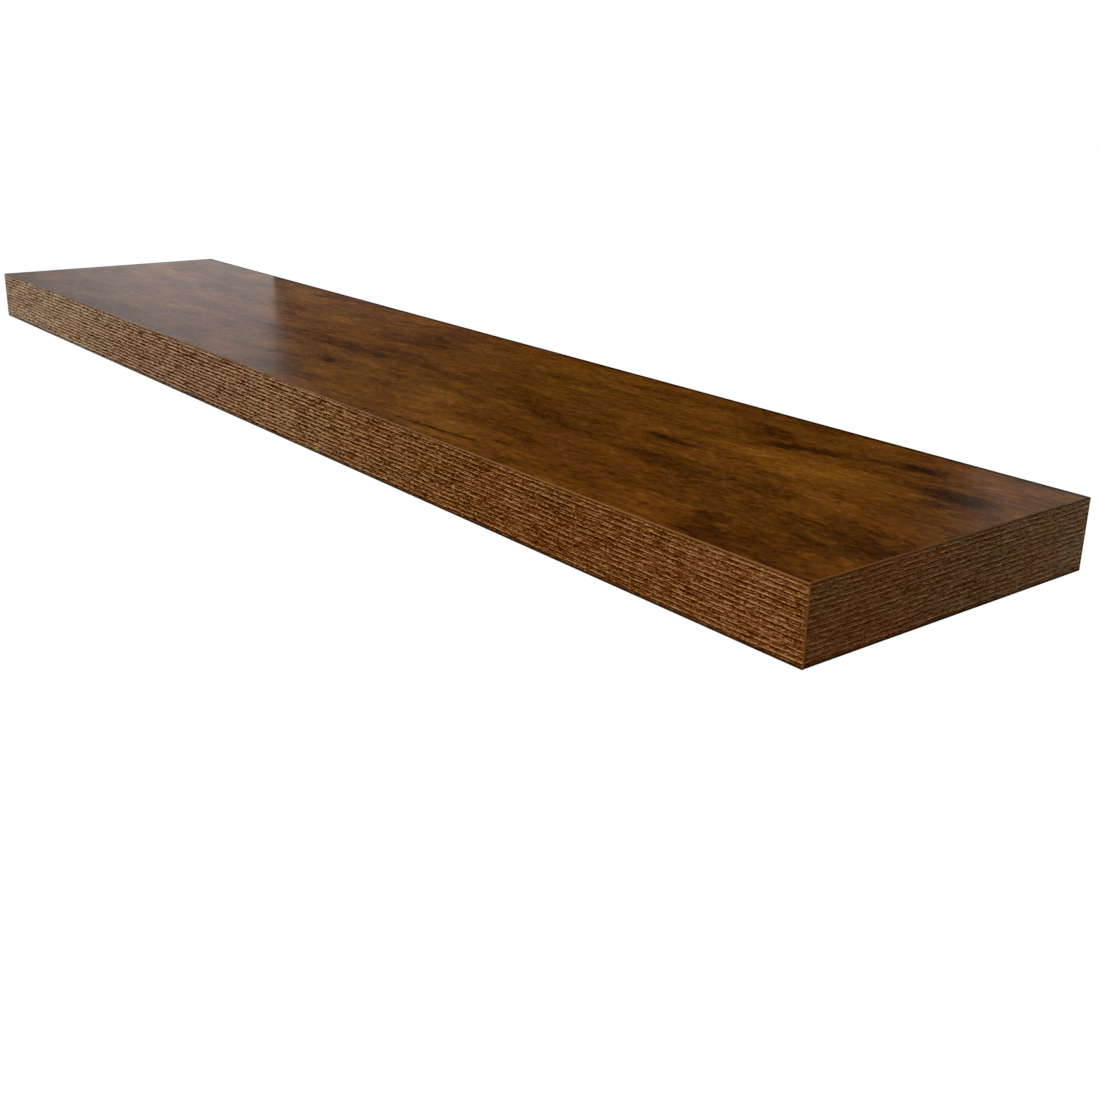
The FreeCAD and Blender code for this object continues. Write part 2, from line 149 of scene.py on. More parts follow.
edgeFoil = {
    "stops": [(0.0, "#230900"), (0.25, "#412000"), (0.5, "#663906"), (0.75, "#845822"), (1.0, "#ae8457")],
    # places along the edge, with how harsh the print is there
    "gain": ((-450 * mm, 1.05), (-300 * mm, 1.5), (-225 * mm, 1.42), (-75 * mm, 1.7), (0.0, 2.05),
             (75 * mm, 1.72), (320 * mm, 1.13)),
    # places along the edge, with how much lighter or darker it is there
    "shade": ((-330 * mm, 0.03), (-240 * mm, -0.015), (-150 * mm, -0.06), (-75 * mm, -0.07), (0.0, -0.035),
              (75 * mm, -0.045), (200 * mm, -0.08), (330 * mm, -0.07), (440 * mm, -0.01),
              (1720 * mm, -0.01), (1790 * mm, 0.035)),
    # places along the edge and the share of the lines kept there
    "hold": ((-450 * mm, 0.72), (-150 * mm, 1.0), (60 * mm, 1.0), (260 * mm, 0.8)),
    # places along the edge and the share of the specks kept there
    "grit": ((-450 * mm, 0.55), (0.0, 0.95), (200 * mm, 1.25), (480 * mm, 1.25), (600 * mm, 0.95)),
    # length, width in mm, detail and strength of the streaks between the lines
    "streak": (4, 0.55, 3.0, 1.4),
    "dash": (7, 1.1, 2.0, 0.8),
    "speck": (1.6, 0.72, 2.0, 1.3),
    "fleck": (15, 3.6, 2.0, 0.36),
    "patch": (34, 12, 3.0, 0.3),
    "castSize": (60 * mm, 18 * mm),  # length and height of the areas of one cast
    "castLean": 0.18,                # how far one end of the edge leans to each cast
    "castStops": (0.35, 0.65),       # noise where each cast is pure
    # heights where each border starts and is full, then the same in shares of an end's rounding; apart from
    # the dark line under the arris, the borders are painted highlight and painted shade
    "underArrisLineBand": (17.7 * mm, 18.0 * mm),
    "paintedArrisBand": (18.25 * mm, 18.6 * mm),
    "paintedFootShadeBand": (-17.1 * mm, -17.9 * mm),
    "rightCornerHighlight": (0.02, 0.2),
    "leftCornerShade": (-0.02, -0.2),
    "cover": 0.85,             # how much a border hides the print
    "paintedCornerHighlight": "#7a4f26",  # painted highlight down the right corner, where the rounded end catches the light
    # dark of the line under the arris, and painted shade along the foot and down the left corner
    "darkLineAndPaintedShade": "#1f1108",
    "underArrisLineDarkness": 0.65,              # share of dark in the fine line under the arris's painted highlight
    "glossTones": (0.4, 1.0),  # tones where gloss starts and is full
    "gloss": (0.0, 1.65),      # pores are dull, crests catch the light
    "roughness": (0.44, 0.28),  # in the pores and on the crests
    "bump": (0.3, 0.1 * mm),   # strength and height of the streaks
    "ior": 1.5,
}
# arris: painted highlight (pale) and painted shade (dark) on the top arris; turn: where along the edge it
# goes from the first to the second;
# dull: how matt the arris is before it turns; lines, gap and speckle: strength of the lines, of what
# is left of them between runs and of the specks; mid: middle tone; casts: two casts of the print;
# lean: where they turn
edgeLooks = {
    "Front": {"arris": ("#6a4f37", "#7c5228"), "dull": 0.0, "turn": (0.0, 0.33),
              "lines": 0.53, "gap": 0.26, "speckle": 1.0,
              "mid": 0.5, "casts": ("#fff2e4", "#f2fae2"), "lean": (0.35, -0.45)},
    "Right": {"arris": ("#3a2a18", "#6e4823"), "dull": 0.4, "turn": (1.80, 1.62),
              "lines": 0.31, "gap": 0.24, "speckle": 0.67,
              "mid": 0.53, "casts": ("#faf0e0", "#e2f4d6"), "lean": (1.60, 1.80)},
    "Left": {"arris": ("#26150a", "#26150a"), "dull": 0.4, "turn": (-2, -1),
             "lines": 0.40, "gap": 0.24, "speckle": 0.62,
             "mid": 0.5, "casts": ("#fff4e8", "#f4fae0"), "lean": (3.0, 3.2)},
    "Rear": {"arris": ("#26150a", "#26150a"), "dull": 0.4, "turn": (-2, -1),
             "lines": 0.62, "gap": 0.08, "speckle": 1.0,
             "mid": 0.5, "casts": ("#fff4e8", "#f4fae0"), "lean": (-0.48, 0.48)},
}


# a value that goes evenly from one listed place along the edge to the next
def alongEdge(tree, place, stops):
    along = addNode(tree, "ShaderNodeSeparateXYZ", {0: place}).outputs[0]
    total = stops[0][1]
    for (start, first), (end, last) in zip(stops, stops[1:]):
        step = addNode(tree, "ShaderNodeMapRange", {
            "Value": along, "From Min": start, "From Max": end, "To Max": last - first}).outputs[0]
        total = addNode(tree, "ShaderNodeMath", {0: total, 1: step}, operation="ADD").outputs[0]
    return total


# melamine edge foil, printed and embossed: broken light and dark lines, soft low sheen
def makeEdgeFoil(edge, fromAttribute):
    look = edgeLooks[edge]
    material, tree = startMaterial("melamineEdgeFoil" + edge)
    if fromAttribute:
        place = addNode(tree, "ShaderNodeAttribute", attribute_name="bandPlace").outputs["Vector"]
    else:
        coords = addNode(tree, "ShaderNodeTexCoord").outputs["Object"]
        sides = addNode(tree, "ShaderNodeSeparateXYZ", {0: coords}).outputs
        place = addNode(tree, "ShaderNodeCombineXYZ", {"X": sides[0], "Y": sides[2]}).outputs[0]
    split = addNode(tree, "ShaderNodeSeparateXYZ", {0: place}).outputs

    # tone: the lines, what lies between them, and how harsh and dark the print is at this place
    held = addNode(tree, "ShaderNodeMath", {
        0: alongEdge(tree, place, edgeFoil["hold"]), 1: look["lines"]}, operation="MULTIPLY").outputs[0]
    line = lineField(tree, place, look["gap"])
    tone = addNode(tree, "ShaderNodeMath", {0: line, 1: held, 2: 0.5}, operation="MULTIPLY_ADD")
    fields = {}
    for label in ("streak", "dash", "speck", "fleck", "patch"):
        length, width, detail, weight = edgeFoil[label]
        weight *= look["speckle"]
        stretched = addNode(tree, "ShaderNodeVectorMath", {
            0: place, 1: (1 / (length * mm), 1 / (width * mm), 0)}, operation="MULTIPLY")
        fields[label] = addNode(tree, "ShaderNodeTexNoise", {
            "Vector": stretched.outputs[0], "Scale": 1.0, "Detail": detail, "Roughness": 0.6}).outputs[0]
        part = addNode(tree, "ShaderNodeMath", {
            0: fields[label], 1: weight, 2: -weight / 2}, operation="MULTIPLY_ADD")
        if label == "speck":
            part = addNode(tree, "ShaderNodeMath", {
                0: part.outputs[0], 1: alongEdge(tree, place, edgeFoil["grit"])}, operation="MULTIPLY")
        tone = addNode(tree, "ShaderNodeMath", {0: tone.outputs[0], 1: part.outputs[0]}, operation="ADD")
    gain = alongEdge(tree, place, edgeFoil["gain"])
    middle = addNode(tree, "ShaderNodeMath", {
        0: alongEdge(tree, place, edgeFoil["shade"]), 1: look["mid"]}, operation="ADD").outputs[0]
    offTone = addNode(tree, "ShaderNodeMath", {0: tone.outputs[0], 1: 0.5}, operation="SUBTRACT")
    tone = addNode(tree, "ShaderNodeMath", {
        0: offTone.outputs[0], 1: gain, 2: middle}, operation="MULTIPLY_ADD").outputs[0]
    colour = addNode(tree, "ShaderNodeValToRGB", {"Fac": tone})
    setRamp(colour, edgeFoil["stops"])

    # cast: the print drifts slowly between two tints
    castLength, castHeight = edgeFoil["castSize"]
    stretched = addNode(tree, "ShaderNodeVectorMath", {
        0: place, 1: (1 / castLength, 1 / castHeight, 0)}, operation="MULTIPLY")
    cast = addNode(tree, "ShaderNodeTexNoise", {
        "Vector": stretched.outputs[0], "Scale": 1.0, "Detail": 2.0, "Roughness": 0.6})
    lean = addNode(tree, "ShaderNodeMapRange", {
        "Value": split[0], "From Min": look["lean"][0], "From Max": look["lean"][1],
        "To Min": -edgeFoil["castLean"], "To Max": edgeFoil["castLean"]})
    leaned = addNode(tree, "ShaderNodeMath", {0: cast.outputs[0], 1: lean.outputs[0]}, operation="ADD")
    tint = addNode(tree, "ShaderNodeValToRGB", {"Fac": leaned.outputs[0]})
    setRamp(tint, list(zip(edgeFoil["castStops"], look["casts"])))
    painted = addNode(tree, "ShaderNodeMix", {
        0: 1.0, 6: colour.outputs[0], 7: tint.outputs[0]}, data_type="RGBA", blend_type="MULTIPLY").outputs[2]

    # borders over the print: a dark line under the arris, the arris colour (painted highlight where pale,
    # painted shade where dark), painted shade along the foot, a painted highlight down the right corner,
    # painted shade down the left corner
    turn = addNode(tree, "ShaderNodeMapRange", {
        "Value": split[0], "From Min": look["turn"][0], "From Max": look["turn"][1]}).outputs[0]
    arris = addNode(tree, "ShaderNodeMix", {
        0: turn, 6: hexColor(look["arris"][0]), 7: hexColor(look["arris"][1])}, data_type="RGBA").outputs[2]
    light = hexColor(edgeFoil["paintedCornerHighlight"])
    dark = hexColor(edgeFoil["darkLineAndPaintedShade"])
    cover = edgeFoil["cover"]
    underArrisLineShare = addNode(tree, "ShaderNodeMath", {
        0: turn, 1: edgeFoil["underArrisLineDarkness"]}, operation="MULTIPLY").outputs[0]
    arrisDull = addNode(tree, "ShaderNodeMapRange", {
        "Value": turn, "To Min": look["dull"], "To Max": 1.0}).outputs[0]
    dull = 0.0
    for axis, border, paint, share, dullShare in (
            (1, "underArrisLineBand", dark, underArrisLineShare, 0.0),
            (1, "paintedArrisBand", arris, cover, arrisDull),
            (1, "paintedFootShadeBand", dark, cover, 1.0),
            (2, "rightCornerHighlight", light, cover, 1.0),
            (2, "leftCornerShade", dark, cover, 1.0)):
        start, full = edgeFoil[border]
        edgeMask = addNode(tree, "ShaderNodeMapRange", {
            "Value": split[axis], "From Min": start, "From Max": full, "To Max": share},
            interpolation_type="SMOOTHSTEP").outputs[0]
        dulled = addNode(tree, "ShaderNodeMath", {0: edgeMask, 1: dullShare}, operation="MULTIPLY").outputs[0]
        dull = addNode(tree, "ShaderNodeMath", {0: dull, 1: dulled}, operation="MAXIMUM").outputs[0]
        painted = addNode(tree, "ShaderNodeMix", {
            0: edgeMask, 6: painted, 7: paint}, data_type="RGBA").outputs[2]

    # sheen: smoother and glossier on the crests, matt where a border is dull
    poreRough, crestRough = edgeFoil["roughness"]
    sheen = addNode(tree, "ShaderNodeMapRange", {"Value": tone, "To Min": poreRough, "To Max": crestRough})
    glossStart, glossFull = edgeFoil["glossTones"]
    leastGloss, mostGloss = edgeFoil["gloss"]
    gloss = addNode(tree, "ShaderNodeMapRange", {
        "Value": tone, "From Min": glossStart, "From Max": glossFull,
        "To Min": leastGloss, "To Max": mostGloss})
    clear = addNode(tree, "ShaderNodeMath", {0: 1.0, 1: dull}, operation="SUBTRACT")
    gloss = addNode(tree, "ShaderNodeMath", {0: clear.outputs[0], 1: gloss.outputs[0]}, operation="MULTIPLY")
    bumpStrength, bumpHeight = edgeFoil["bump"]
    bump = addNode(tree, "ShaderNodeBump", {
        "Height": fields["streak"], "Strength": bumpStrength, "Distance": bumpHeight})
    shader = addNode(tree, "ShaderNodeBsdfPrincipled", {
        "Base Color": painted, "Roughness": sheen.outputs[0], "IOR": edgeFoil["ior"],
        "Specular IOR Level": gloss.outputs[0], "Normal": bump.outputs[0]})
    endMaterial(tree, shader)
    return material


# Walnut decor: printed melamine paper pressed on a satin plate, dark clouds along the grain
faceDecor = {
    "stops": [(0.0, "#2c1602"), (0.25, "#492702"), (0.5, "#633903"), (0.75, "#7a4b0c"), (1.0, "#93631f")],
    # length and width of each layer of the figure, and how much it darkens or lightens
    "layers": ((95 * mm, 34 * mm, 0.85), (34 * mm, 11 * mm, 0.55), (10 * mm, 4 * mm, 0.60),
               (34 * mm, 2.6 * mm, 0.42), (1.4 * mm, 1.0 * mm, 0.75), (4.5 * mm, 2.6 * mm, 0.80)),
    "layerSlice": 60,         # scale through the board, which picks the slice of noise that the face shows
    # length and width of the waves, how far they shift along and across, and their slice
    "wave": (55 * mm, 16 * mm, 36 * mm, 11 * mm, 40),     # bends the whole figure
    "feather": (9 * mm, 3 * mm, 24 * mm, 5 * mm, 50),     # frays each mark
    "markWave": 0.5,          # share of the wave that marks follow
    "markFade": (0.15, 1.25),  # where a mark starts to fade and where it is gone, in half sizes
    "grainTurn": 5.0,         # degrees that the printed grain runs off the long edge
    "bold": (-240 * mm, 40 * mm, 1.25),  # left of the first place the figure is this much stronger
    # places where the darker end is full and where it stops, and its tone
    "leftShade": (-330 * mm, -150 * mm, -0.085),
    "rightShade": (350 * mm, 180 * mm, -0.05),
    "satin": (0.15, 0.85, 0.26, 0.74),  # darkest and palest tone of the print, and how glossy each one is
    "hueSize": (160 * mm, 50 * mm, 30),  # length, width and slice of the areas of one tint
    "tints": [(0.35, "#fff0e8"), (0.65, "#fbfbc8")],  # red, then gold
    # axis of each band of painted shade along the rear and left edges, and where along it the shade is full
    # and where it stops
    "paintedEdgeShadeBands": ((1, -1.8 * mm, -5.4 * mm), (0, -480.5 * mm, -477 * mm)),
    "paintedEdgeShadeColor": "#170a02",
    "paintedEdgeShadeCover": 0.9,       # how much the painted shade hides the print
    "paintedEdgeShadeDull": 0.8,        # how much gloss full painted shade takes away
    "roughness": (0.31, 0.37),
    "bump": (0.05, 0.05 * mm),  # strength and height of the grain
    "ior": 1.5,
}
# soft dark and pale marks of the print: x, y, half length, half width in mm, tilt in degrees, strength
decorMarks = [
    (361, -44, 27, 8, 8, -0.34),
    (360, -15, 30, 10, 0, 0.10),
    (334, -54, 15, 5, 30, -0.28),
    (407, -30, 19, 6.5, 2, -0.44),
    (312, -36, 36, 6, -20, -0.24),
    (444, -57, 31, 11, 4, -0.48),
    (452, -30, 16, 8, 0, 0.14),
    (452, -10, 26, 8, 0, -0.22),
    (285, -97, 24, 5, -3, -0.34),
    (275, -124, 90, 12, -4, -0.14),
    (-2, -112, 36, 9, 4, -0.30),
    (38, -90, 50, 20, 8, -0.10),
    (-60, -112, 50, 11, 0, -0.20),
    (6, -147, 10, 4, 0, -0.34),
    (196, -190, 62, 1.4, 4, -0.46),
    (398, -174, 14, 8, 0, -0.26),
    (158, -33, 26, 1.4, -4, -0.36),
    (190, -43, 40, 1.4, -2, -0.32),
    (176, -26, 36, 1.3, 3, -0.32),
    (212, -36, 32, 1.2, 2, -0.28),
    (-260, -196, 380, 70, 0, -0.24),
    (470, -150, 80, 110, 0, -0.09),
    (443, -75, 10, 9, 0, -0.20),
    (452, -100, 44, 15, 0, -0.13),
    (452, -192, 70, 16, 0, -0.15),
    (360, -78, 62, 22, 0, 0.24),
    (205, -160, 36, 11, 0, -0.12),
    (70, -106, 55, 12, 0, -0.16),
    (130, -144, 60, 12, 0, 0.24),
    (62, -120, 50, 8, 0, -0.16),
    (150, -42, 60, 14, 0, -0.10),
    (150, -80, 50, 12, 0, 0.10),
    (265, -158, 80, 14, 0, -0.08),
    (350, -122, 60, 16, 0, -0.07),
    (-90, -14, 140, 12, 0, 0.06),
    (-62, -40, 50, 14, 0, 0.12),
    (2, -56, 42, 25, 0, -0.19),
    (-62, -54, 20, 8, 0, -0.14),
    (-70, -82, 34, 12, 0, 0.12),
    (-150, -82, 50, 14, 0, -0.14),
    (-255, -164, 70, 15, 0, 0.22),
    (-240, -120, 60, 14, 0, -0.18),
    (-150, -122, 50, 12, 0, -0.14),
    (-245, -34, 60, 20, 0, 0.12),
    (-430, -70, 80, 26, 0, 0.14),
    (-300, -11, 40, 8, 0, 0.14),
    (240, -184, 60, 8, 3, 0.18),
    (190, -114, 60, 11, -14, -0.22),
    (142, -114, 48, 8, -5, -0.12),
    (142, -162, 18, 14, 0, 0.14),
    (198, -78, 22, 11, 0, -0.22),
    (392, -40, 22, 8, 0, -0.20),
    (395, -63, 18, 9, 0, 0.14),
    (392, -124, 26, 10, 0, -0.20),
    (305, -131, 26, 9, 0, -0.18),
    (312, -188, 50, 10, 0, -0.14),
    (402, -188, 26, 9, 0, -0.17),
    (288, -62, 38, 12, 0, 0.18),
    (40, -171, 34, 11, 0, 0.25),
    (200, -196, 46, 6, 0, 0.15),
    (104, -19, 28, 13, 0, 0.20),
    (5, -12, 30, 8, 0, 0.16),
    (-112, -27, 28, 9, 0, 0.16),
]


def makeFaceDecor(name, marks, hasPaintedEdgeShade):
    material, tree = startMaterial(name)
    coords = addNode(tree, "ShaderNodeTexCoord").outputs["Object"]
    split = addNode(tree, "ShaderNodeSeparateXYZ", {0: coords}).outputs

    # place bends the whole figure, near is where a mark is drawn
    shifts = {}
    for label in ("wave", "feather"):
        length, width, along, across, depthScale = faceDecor[label]
        stretched = addNode(tree, "ShaderNodeVectorMath", {
            0: coords, 1: (1 / length, 1 / width, depthScale)}, operation="MULTIPLY")
        noise = addNode(tree, "ShaderNodeTexNoise", {
            "Vector": stretched.outputs[0], "Scale": 1.0, "Detail": 3.0, "Roughness": 0.6})
        centred = addNode(tree, "ShaderNodeVectorMath", {
            0: noise.outputs["Color"], 1: (0.5, 0.5, 0.5)}, operation="SUBTRACT")
        shifts[label] = addNode(tree, "ShaderNodeVectorMath", {
            0: centred.outputs[0], 1: (along, across, 0)}, operation="MULTIPLY").outputs[0]
    place = addNode(tree, "ShaderNodeVectorMath", {0: coords, 1: shifts["wave"]}, operation="ADD").outputs[0]
    markWave = faceDecor["markWave"]
    near = addNode(tree, "ShaderNodeVectorMath", {
        0: shifts["wave"], 1: (markWave, markWave, 0), 2: coords}, operation="MULTIPLY_ADD").outputs[0]
    near = addNode(tree, "ShaderNodeVectorMath", {0: near, 1: shifts["feather"]}, operation="ADD").outputs[0]
    turned = addNode(tree, "ShaderNodeMapping", {
        "Vector": place, "Rotation": (0, 0, math.radians(-faceDecor["grainTurn"]))}).outputs[0]

    # tone: layers of grain, stronger on the left, then the shaded ends and the marks
    total = 0.0
    for length, width, weight in faceDecor["layers"]:
        stretched = addNode(tree, "ShaderNodeVectorMath", {
            0: turned, 1: (1 / length, 1 / width, faceDecor["layerSlice"])}, operation="MULTIPLY")
        grain = addNode(tree, "ShaderNodeTexNoise", {
            "Vector": stretched.outputs[0], "Scale": 1.0, "Detail": 3.0, "Roughness": 0.55})
        part = addNode(tree, "ShaderNodeMath", {
            0: grain.outputs[0], 1: weight, 2: -weight / 2}, operation="MULTIPLY_ADD")
        total = addNode(tree, "ShaderNodeMath", {0: total, 1: part.outputs[0]}, operation="ADD").outputs[0]
    boldStart, boldEnd, boldShare = faceDecor["bold"]
    strong = addNode(tree, "ShaderNodeMapRange", {
        "Value": split[0], "From Min": boldStart, "From Max": boldEnd, "To Min": boldShare, "To Max": 1.0})
    total = addNode(tree, "ShaderNodeMath", {
        0: total, 1: strong.outputs[0], 2: 0.5}, operation="MULTIPLY_ADD").outputs[0]
    for side in ("leftShade", "rightShade"):
        shadeStart, shadeEnd, shade = faceDecor[side]
        darker = addNode(tree, "ShaderNodeMapRange", {
            "Value": split[0], "From Min": shadeStart, "From Max": shadeEnd, "To Min": shade, "To Max": 0.0})
        total = addNode(tree, "ShaderNodeMath", {0: total, 1: darker.outputs[0]}, operation="ADD").outputs[0]
    fadeStart, fadeEnd = faceDecor["markFade"]
    for x, y, length, width, tilt, strength in marks:
        oval = addNode(tree, "ShaderNodeMapping", {
            "Vector": near, "Location": (x * mm, y * mm, 0), "Rotation": (0, 0, math.radians(tilt)),
            "Scale": (length * mm, width * mm, 1e6)}, vector_type="TEXTURE")
        reach = addNode(tree, "ShaderNodeVectorMath", {0: oval.outputs[0]}, operation="LENGTH")
        soft = addNode(tree, "ShaderNodeMapRange", {
            "Value": reach.outputs["Value"], "From Min": fadeStart, "From Max": fadeEnd,
            "To Min": strength, "To Max": 0.0}, interpolation_type="SMOOTHSTEP")
        total = addNode(tree, "ShaderNodeMath", {0: total, 1: soft.outputs[0]}, operation="ADD").outputs[0]
    colour = addNode(tree, "ShaderNodeValToRGB", {"Fac": total})
    setRamp(colour, faceDecor["stops"])

    # tint: the print drifts slowly from red to gold
    hueLength, hueWidth, hueSlice = faceDecor["hueSize"]
    stretched = addNode(tree, "ShaderNodeVectorMath", {
        0: place, 1: (1 / hueLength, 1 / hueWidth, hueSlice)}, operation="MULTIPLY")
    hue = addNode(tree, "ShaderNodeTexNoise", {
        "Vector": stretched.outputs[0], "Scale": 1.0, "Detail": 3.0, "Roughness": 0.5})
    tint = addNode(tree, "ShaderNodeValToRGB", {"Fac": hue.outputs[0]})
    setRamp(tint, faceDecor["tints"])
    painted = addNode(tree, "ShaderNodeMix", {
        0: 1.0, 6: colour.outputs[0], 7: tint.outputs[0]}, data_type="RGBA", blend_type="MULTIPLY").outputs[2]

    # sheen: pale print is glossier, and the painted shade along the rear and left edges is dull
    darkTone, paleTone, leastShine, mostShine = faceDecor["satin"]
    shine = addNode(tree, "ShaderNodeMapRange", {
        "Value": total, "From Min": darkTone, "From Max": paleTone,
        "To Min": leastShine, "To Max": mostShine}).outputs[0]
    paintedEdgeShadeColor = hexColor(faceDecor["paintedEdgeShadeColor"])
    # painted shade: a dark line along the rear and left edges of the top
    for axis, full, stop in faceDecor["paintedEdgeShadeBands"] if hasPaintedEdgeShade else ():
        dark = addNode(tree, "ShaderNodeMapRange", {
            "Value": split[axis], "From Min": stop, "From Max": full,
            "To Min": 0.0, "To Max": faceDecor["paintedEdgeShadeCover"]}, interpolation_type="SMOOTHSTEP")
        painted = addNode(tree, "ShaderNodeMix", {
            0: dark.outputs[0], 6: painted, 7: paintedEdgeShadeColor}, data_type="RGBA").outputs[2]
        clear = addNode(tree, "ShaderNodeMath", {
            0: dark.outputs[0], 1: -faceDecor["paintedEdgeShadeDull"], 2: 1.0}, operation="MULTIPLY_ADD")
        shine = addNode(tree, "ShaderNodeMath", {
            0: shine, 1: clear.outputs[0]}, operation="MULTIPLY").outputs[0]
    leastRough, mostRough = faceDecor["roughness"]
    sheen = addNode(tree, "ShaderNodeMapRange", {
        "Value": grain.outputs[0], "To Min": leastRough, "To Max": mostRough})
    bumpStrength, bumpHeight = faceDecor["bump"]
    bump = addNode(tree, "ShaderNodeBump", {
        "Height": grain.outputs[0], "Strength": bumpStrength, "Distance": bumpHeight})
    shader = addNode(tree, "ShaderNodeBsdfPrincipled", {
        "Base Color": painted, "Roughness": sheen.outputs[0], "IOR": faceDecor["ior"],
        "Specular IOR Level": shine, "Normal": bump.outputs[0]})
    endMaterial(tree, shader)
    return material


# Hidden pieces: one noise stretched along the grain, two or three colours; grain is its size in mm
roughnessSpread = 0.08
finishBump = 0.1 * mm
pineStops = [(0.3, "#b98a55"), (0.55, "#d3a872"), (0.75, "#dfba88")]
plainFinishes = {
    # pine planed by machine: pale, with long soft streaks along each rail
    "planedPine": {"nodes": ["front_rail", "rear_rail"], "grain": (180, 2.4, 2.4), "detail": 5,
                   "stops": pineStops, "roughness": 0.6, "metallic": 0.0, "bump": 0.25},
    # the same pine, with its streaks along the pieces that run from front to rear
    "planedPineCross": {"nodes": ["left_end_rail", "right_end_rail", "left_rib", "centre_rib", "right_rib"],
                        "grain": (2.4, 180, 2.4), "detail": 5,
                        "stops": pineStops, "roughness": 0.6, "metallic": 0.0, "bump": 0.25},
    # hot-pressed fibreboard: matt brown, evenly mottled, no grain
    "pressedFibreboard": {"nodes": ["top_panel", "bottom_panel"], "grain": (3, 3, 1), "detail": 6,
                          "stops": [(0.35, "#6b4a2b"), (0.6, "#86623c")],
                          "roughness": 0.75, "metallic": 0.0, "bump": 0.3},
    # unbleached kraft paper: dry, very matt, with cloudy fibres
    "kraftPaper": {"nodes": ["far_left_core", "left_core", "right_core", "far_right_core"],
                   "grain": (4, 4, 1.2), "detail": 6,
                   "stops": [(0.35, "#a37b4c"), (0.65, "#b98f5e")],
                   "roughness": 0.85, "metallic": 0.0, "bump": 0.3},
    # drawn wire with a galvanised coat: grey metal with faint streaks
    "galvanisedWire": {"nodes": ["frame_staples"], "grain": (1, 1, 6), "detail": 3,
                       "stops": [(0.3, "#8f9294"), (0.7, "#b9bcbd")],
                       "roughness": 0.38, "metallic": 1.0, "bump": 0.1},
    # turned steel with bright zinc: pale, faintly warm metal
    "zincPlatedSteel": {"nodes": ["left_insert", "right_insert"], "grain": (2, 2, 2), "detail": 4,
                        "stops": [(0.3, "#a9a79c"), (0.7, "#c9c8c0")],
                        "roughness": 0.33, "metallic": 1.0, "bump": 0.1},
    # steel blackened in an oxide bath: nearly black metal with a dim shine
    "blackOxideSteel": {"nodes": ["left_lock_screw", "right_lock_screw"],
                        "grain": (0.8, 0.8, 0.8), "detail": 4,
                        "stops": [(0.3, "#17181a"), (0.7, "#2a2b2e")],
                        "roughness": 0.42, "metallic": 1.0, "bump": 0.1},
    # baked powder coat: black with a fine orange-peel surface
    "blackPowderCoat": {"nodes": ["wall_plate", "left_rod", "centre_rod", "right_rod"],
                        "grain": (0.7, 0.7, 0.7), "detail": 2,
                        "stops": [(0.3, "#131313"), (0.7, "#1f1f1f")],
                        "roughness": 0.5, "metallic": 0.0, "bump": 0.5},
}


def makePlainFinish(name, finish):
    material, tree = startMaterial(name)
    coords = addNode(tree, "ShaderNodeTexCoord").outputs["Object"]
    stretched = addNode(tree, "ShaderNodeVectorMath", {
        0: coords, 1: tuple(1 / (size * mm) for size in finish["grain"])}, operation="MULTIPLY")
    noise = addNode(tree, "ShaderNodeTexNoise", {
        "Vector": stretched.outputs[0], "Scale": 1.0, "Detail": float(finish["detail"]), "Roughness": 0.6})
    colour = addNode(tree, "ShaderNodeValToRGB", {"Fac": noise.outputs[0]})
    setRamp(colour, finish["stops"])
    sheen = addNode(tree, "ShaderNodeMapRange", {
        "Value": noise.outputs[0], "To Min": finish["roughness"] - roughnessSpread,
        "To Max": finish["roughness"] + roughnessSpread})
    bump = addNode(tree, "ShaderNodeBump", {
        "Height": noise.outputs[0], "Strength": finish["bump"], "Distance": finishBump})
    shader = addNode(tree, "ShaderNodeBsdfPrincipled", {
        "Base Color": colour.outputs[0], "Metallic": finish["metallic"], "Roughness": sheen.outputs[0],
        "Normal": bump.outputs[0]})
    endMaterial(tree, shader)
    return material


edgeMaterials = {edge: makeEdgeFoil(edge, edge != "Rear") for edge in edgeLooks}
dressNode("rear_edge_band", edgeMaterials["Rear"])
dressNode("top_laminate", makeFaceDecor("walnutDecorLaminate", decorMarks, True))
dressNode("bottom_laminate", makeFaceDecor("walnutDecorLaminateUnder", [], False))
for finishName, finish in plainFinishes.items():
    finishMaterial = makePlainFinish(finishName, finish)
    for nodeName in finish["nodes"]:
        dressNode(nodeName, finishMaterial)
print("materials made:", len(bpy.data.materials))


